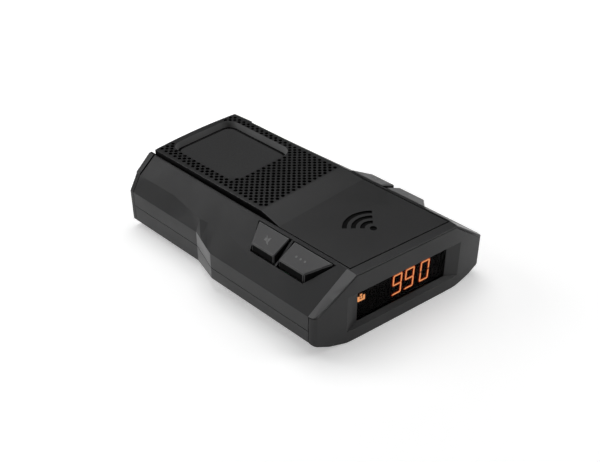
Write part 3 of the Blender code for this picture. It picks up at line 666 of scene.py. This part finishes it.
def top_panel():
    """The panel, with painted shade on its flanks, painted highlights on its pocket wall and slope, its
    holes and its sign.
    """
    shape = soften(welded("top_panel"), HOUSING_ROUND, edge_highlight_look=PANEL_LOOKS.index(EDGE_HIGHLIGHT))
    for face in shape.faces:
        middle = face.calc_center_median()
        look = PANEL_LOOKS[face.material_index]
        if look == EDGE_HIGHLIGHT:
            continue
        # Painted shade on the flanks, painted highlight on the pocket walls and on the slope.
        if abs(middle.x) > 20.8 * MM and abs(face.normal.x) > 0.9:
            look = SHADE_AND_PRINT_BLACK
        elif POCKET_FLOOR_Z * MM < middle.z < 31.5 * MM and 0.05 < face.normal.z < 0.8:
            look = POCKET_WALL_HIGHLIGHT
        elif 0.05 < -face.normal.y < 0.5 and face.normal.z > 0.8:
            look = SLOPE_HIGHLIGHT
        face.material_index = PANEL_LOOKS.index(look)
    done = carved("panel", shape, [hole_cutter(), emblem_cutter()], PANEL_LOOKS)
    return piece("top_panel_finish", done, PANEL_LOOKS, "case", ("top_panel",),
                 30.0)


top_panel()

# ---------------------------------------------------------------- icons on the buttons
BUTTON_TOP = ((25.3, 29.9), (33.5, 26.1))
ICON_RISE = 0.05


def button_place(side, x, y, lift=0.0):
    """A point on a button's sloping top, x being the distance from the middle."""
    (x0, z0), (x1, z1) = BUTTON_TOP
    along = Vector((x1 - x0, z1 - z0)).normalized()
    z = z0 + (z1 - z0) * (x - x0) / (x1 - x0)
    return point(side * (x - along.y * lift), y, z + along.x * lift)


def icon(name, side, body, outlines):
    """Thin printed shapes on a button; outlines are (across, along) in millimetres."""
    shape = bmesh.new()
    rise = button_place(side, 29.0, 0, ICON_RISE) - button_place(side, 29.0, 0, 0.0)
    for outline in outlines:
        corners = [button_place(side, x, y, 0.005) for x, y in outline]
        if side > 0:
            corners.reverse()
        plate(shape, corners, rise)
    piece(name, shape, [ICON_INK], body)


def bar(a, b, width):
    """A rectangle along a line from a to b."""
    along = (Vector(b) - Vector(a)).normalized() * (width / 2)
    side_step = Vector((-along.y, along.x))
    return [tuple(Vector(a) - side_step), tuple(Vector(b) - side_step),
            tuple(Vector(b) + side_step), tuple(Vector(a) + side_step)]


MUTE_PLACE = (29.8, 41.6)
SUN_PLACE = (29.7, 41.6)
DOTS_X = 29.6
BARS_X = (28.4, 30.8)

x, y = MUTE_PLACE
icon("icon_mute", -1, "button_left_rear", [
    [(x - 0.55, y + 1.3), (x - 0.55, y + 0.2), (x + 0.55, y + 0.2), (x + 0.55, y + 1.3)],
    [(x - 0.55, y + 0.1), (x - 1.35, y - 0.9), (x + 1.35, y - 0.9), (x + 0.55, y + 0.1)],
    bar((x - 1.3, y + 1.5), (x + 1.4, y - 1.6), 0.28)])
icon("icon_dots", -1, "button_left_front", [disc((DOTS_X, y), 0.42) for y in (26.9, 24.75, 22.6)])
icon("icon_bars", 1, "button_right_front",
     [bar((BARS_X[0], y), (BARS_X[1], y), 0.45) for y in (26.2, 24.9, 23.6)])
rays = [bar(start, stop, 0.26)
        for start, stop in zip(disc(SUN_PLACE, 1.0, 8), disc(SUN_PLACE, 1.55, 8))]
icon("icon_brightness", 1, "button_right_rear", [disc(SUN_PLACE, 0.62)] + rays)

# ---------------------------------------------------------------- the lit display
SEGMENT_V = 3.86
SEGMENT_THICK = 0.08
DIGIT_LOW = 7.75
DIGIT_HIGH = 16.75
DIGIT_WIDTH = 4.35
DIGIT_STROKE = 0.46
HALO_STROKE = DIGIT_STROKE + 0.6
DIGIT_GAP = 0.14
DIGIT_LEAN = 0.035
LIT_BY_DIGIT = {"9": "abcdfg", "0": "abcdef"}


def segment_outlines(centre, low, high, width, stroke, wanted, gap=DIGIT_GAP, lean=DIGIT_LEAN):
    """Outlines of the wanted segments of one seven-segment digit, as (u, z)."""
    left, right = centre - width / 2, centre + width / 2
    middle = (low + high) / 2
    half = stroke / 2
    bars = {
        "a": ((left, high - half), (right, high - half)),
        "d": ((left, low + half), (right, low + half)),
        "g": ((left, middle), (right, middle)),
        "f": ((left + half, middle), (left + half, high)),
        "b": ((right - half, middle), (right - half, high)),
        "e": ((left + half, low), (left + half, middle)),
        "c": ((right - half, low), (right - half, middle)),
    }
    outlines = []
    for label in wanted:
        (u0, z0), (u1, z1) = bars[label]
        if z0 == z1:
            outline = [(u0 + gap + stroke * 0.45, z0 - half), (u1 - gap - stroke * 0.45, z0 - half),
                       (u1 - gap, z0), (u1 - gap - stroke * 0.45, z0 + half),
                       (u0 + gap + stroke * 0.45, z0 + half), (u0 + gap, z0)]
        else:
            low_trim = gap + half * (0.6 if z0 == middle else 0.9)
            high_trim = gap + half * (0.6 if z1 == middle else 0.9)
            outline = [(u0 - half, z0 + low_trim), (u0 + half, z0 + low_trim + 0.1),
                       (u0 + half, z1 - high_trim - 0.1), (u0 - half, z1 - high_trim)]
        outlines.append([(u + (z - middle) * lean, z) for u, z in outline])
    return outlines


def display_layer(name, outlines, mat, v=SEGMENT_V):
    """Thin plates of one look, at one depth behind the window."""
    shape = bmesh.new()
    rise = face_point(0, v - SEGMENT_THICK, 0) - face_point(0, v, 0)
    for outline in outlines:
        plate(shape, [face_point(u, v, z) for u, z in outline], rise)
    return piece(name, shape, [mat])


def rectangle(u0, z0, u1, z1):
    """Outline of a rectangle in the display's own plane."""
    return [(u0, z0), (u1, z0), (u1, z1), (u0, z1)]


DIGITS = (("9", -1.0), ("9", 5.1), ("0", 12.75))
HALO_SPREAD = 0.3
ICON_U, ICON_Z = -18.3, 14.4
ICON_BOXES = ((-1.7, -1.4, 1.7, -0.6), (-1.7, -0.5, -0.8, 0.8), (0.8, -0.5, 1.7, 0.8),
              (-0.7, 0.9, 0.3, 1.7))
lit = []
halo = []
for digit, centre in DIGITS:
    lit += segment_outlines(centre, DIGIT_LOW, DIGIT_HIGH, DIGIT_WIDTH, DIGIT_STROKE,
                            LIT_BY_DIGIT[digit])
    halo += segment_outlines(centre, DIGIT_LOW - HALO_SPREAD, DIGIT_HIGH + HALO_SPREAD,
                             DIGIT_WIDTH + 2 * HALO_SPREAD, HALO_STROKE, LIT_BY_DIGIT[digit], 0.0)
for u0, z0, u1, z1 in ICON_BOXES:
    lit.append(rectangle(ICON_U + u0, ICON_Z + z0, ICON_U + u1, ICON_Z + z1))
lit.append(disc((ICON_U, ICON_Z + 0.15), 0.5, 10))
display_layer("display_lit", lit, LIT)
display_layer("display_halo", halo, HALO, SEGMENT_V + 0.09)

unlit = []
for centre in (-12.6, -8.2, 18.4):
    for low in (13.2, 7.2):
        unlit += segment_outlines(centre, low, low + 4.2, 2.4, 0.4, "abcdefg", 0.08)
for (_, centre), dark in zip(DIGITS, ("e", "e", "g")):
    unlit += segment_outlines(centre, DIGIT_LOW, DIGIT_HIGH, DIGIT_WIDTH, DIGIT_STROKE, dark)
display_layer("display_unlit", unlit, UNLIT)

# ---------------------------------------------------------------- stage, light and camera
FLOOR_GLOW = (0.42, 0.95)
FLOOR_GLOW_SPAN = (0.10, 0.80)   # metres from the object over which the floor's glow grows
FLOOR_HALF = 6.0
FLOOR_Z = -0.0002
AIM = Vector((0, 0, 0.015))

floor_look = Look("studio_floor", (0.86, 0.86, 0.86), 0.9)
floor_look.shader.inputs["Emission Color"].default_value = (1.0, 1.0, 1.0, 1.0)
distance = floor_look.node("ShaderNodeVectorMath", operation='LENGTH')
floor_look.link(floor_look.place, distance.inputs[0])
floor_look.link(floor_look.between(distance.outputs["Value"], *FLOOR_GLOW, *FLOOR_GLOW_SPAN),
                floor_look.shader.inputs["Emission Strength"])
floor_look.paint(floor_look.blend(floor_look.noise(8.0), (0.85, 0.85, 0.85), (0.87, 0.87, 0.87)))
floor_shape = bmesh.new()
bmesh.ops.create_grid(floor_shape, x_segments=8, y_segments=8, size=FLOOR_HALF)
floor_mesh = bpy.data.meshes.new("studio_floor")
floor_shape.to_mesh(floor_mesh)
floor_shape.free()
floor_mesh.materials.append(floor_look.mat)
floor = bpy.data.objects.new("studio_floor", floor_mesh)
PIECES.objects.link(floor)
floor.location.z = FLOOR_Z


def area_light(name, place, size, power):
    """A soft square light aimed at the object."""
    data = bpy.data.lights.new(name, 'AREA')
    data.shape = 'SQUARE'
    data.size = size
    data.energy = power
    obj = bpy.data.objects.new(name, data)
    obj.location = place
    obj.rotation_euler = (AIM - Vector(place)).to_track_quat('-Z', 'Y').to_euler()
    PIECES.objects.link(obj)
    return obj


area_light("overhead", (0.20, 0.30, 1.1), 0.9, 8.0)
area_light("key_rear_left", (-0.17, 0.28, 0.28), 0.16, 0.32)
area_light("low_rear_left", (-0.50, 0.36, 0.20), 0.30, 0.45)
area_light("fill_front_right", (0.55, -0.50, 0.55), 0.40, 1.6)

SKY_STRENGTH = (0.85, 0.20)   # near the horizon and overhead
SKY_SPAN = (0.08, 0.40)

world = bpy.data.worlds.new("studio")
bpy.context.scene.world = world
world.use_nodes = True
sky = world.node_tree
heading = sky.nodes.new("ShaderNodeSeparateXYZ")
sky.links.new(sky.nodes.new("ShaderNodeTexCoord").outputs["Generated"], heading.inputs[0])
height = sky.nodes.new("ShaderNodeMapRange")
height.inputs["From Min"].default_value, height.inputs["From Max"].default_value = SKY_SPAN
height.inputs["To Min"].default_value, height.inputs["To Max"].default_value = SKY_STRENGTH
sky.links.new(heading.outputs["Z"], height.inputs["Value"])
sky.links.new(height.outputs["Result"], sky.nodes["Background"].inputs["Strength"])
bpy.context.scene.view_settings.view_transform = 'Standard'

CAMERA_PLACE = (-0.21452, -0.21632, 0.22479)
CAMERA_AZIMUTH = math.radians(-45.1493)
CAMERA_ELEVATION = math.radians(35.3165)
CAMERA_ROLL = math.radians(0.0372)
CAMERA_LENS = 55.51
SENSOR = 36.0

back = Vector((math.sin(CAMERA_AZIMUTH) * math.cos(CAMERA_ELEVATION),
               -math.cos(CAMERA_AZIMUTH) * math.cos(CAMERA_ELEVATION), math.sin(CAMERA_ELEVATION)))
right = (-back).cross(Vector((0, 0, 1))).normalized()
up = right.cross(-back).normalized()
across = math.cos(CAMERA_ROLL) * right + math.sin(CAMERA_ROLL) * up
upward = -math.sin(CAMERA_ROLL) * right + math.cos(CAMERA_ROLL) * up
lens = bpy.data.cameras.new("camera")
lens.lens = CAMERA_LENS
lens.sensor_width = SENSOR
lens.clip_start = 0.01
camera = bpy.data.objects.new("camera", lens)
PIECES.objects.link(camera)
camera.matrix_world = Matrix((
    (across.x, upward.x, back.x, CAMERA_PLACE[0]),
    (across.y, upward.y, back.y, CAMERA_PLACE[1]),
    (across.z, upward.z, back.z, CAMERA_PLACE[2]),
    (0.0, 0.0, 0.0, 1.0)))
bpy.context.scene.camera = camera
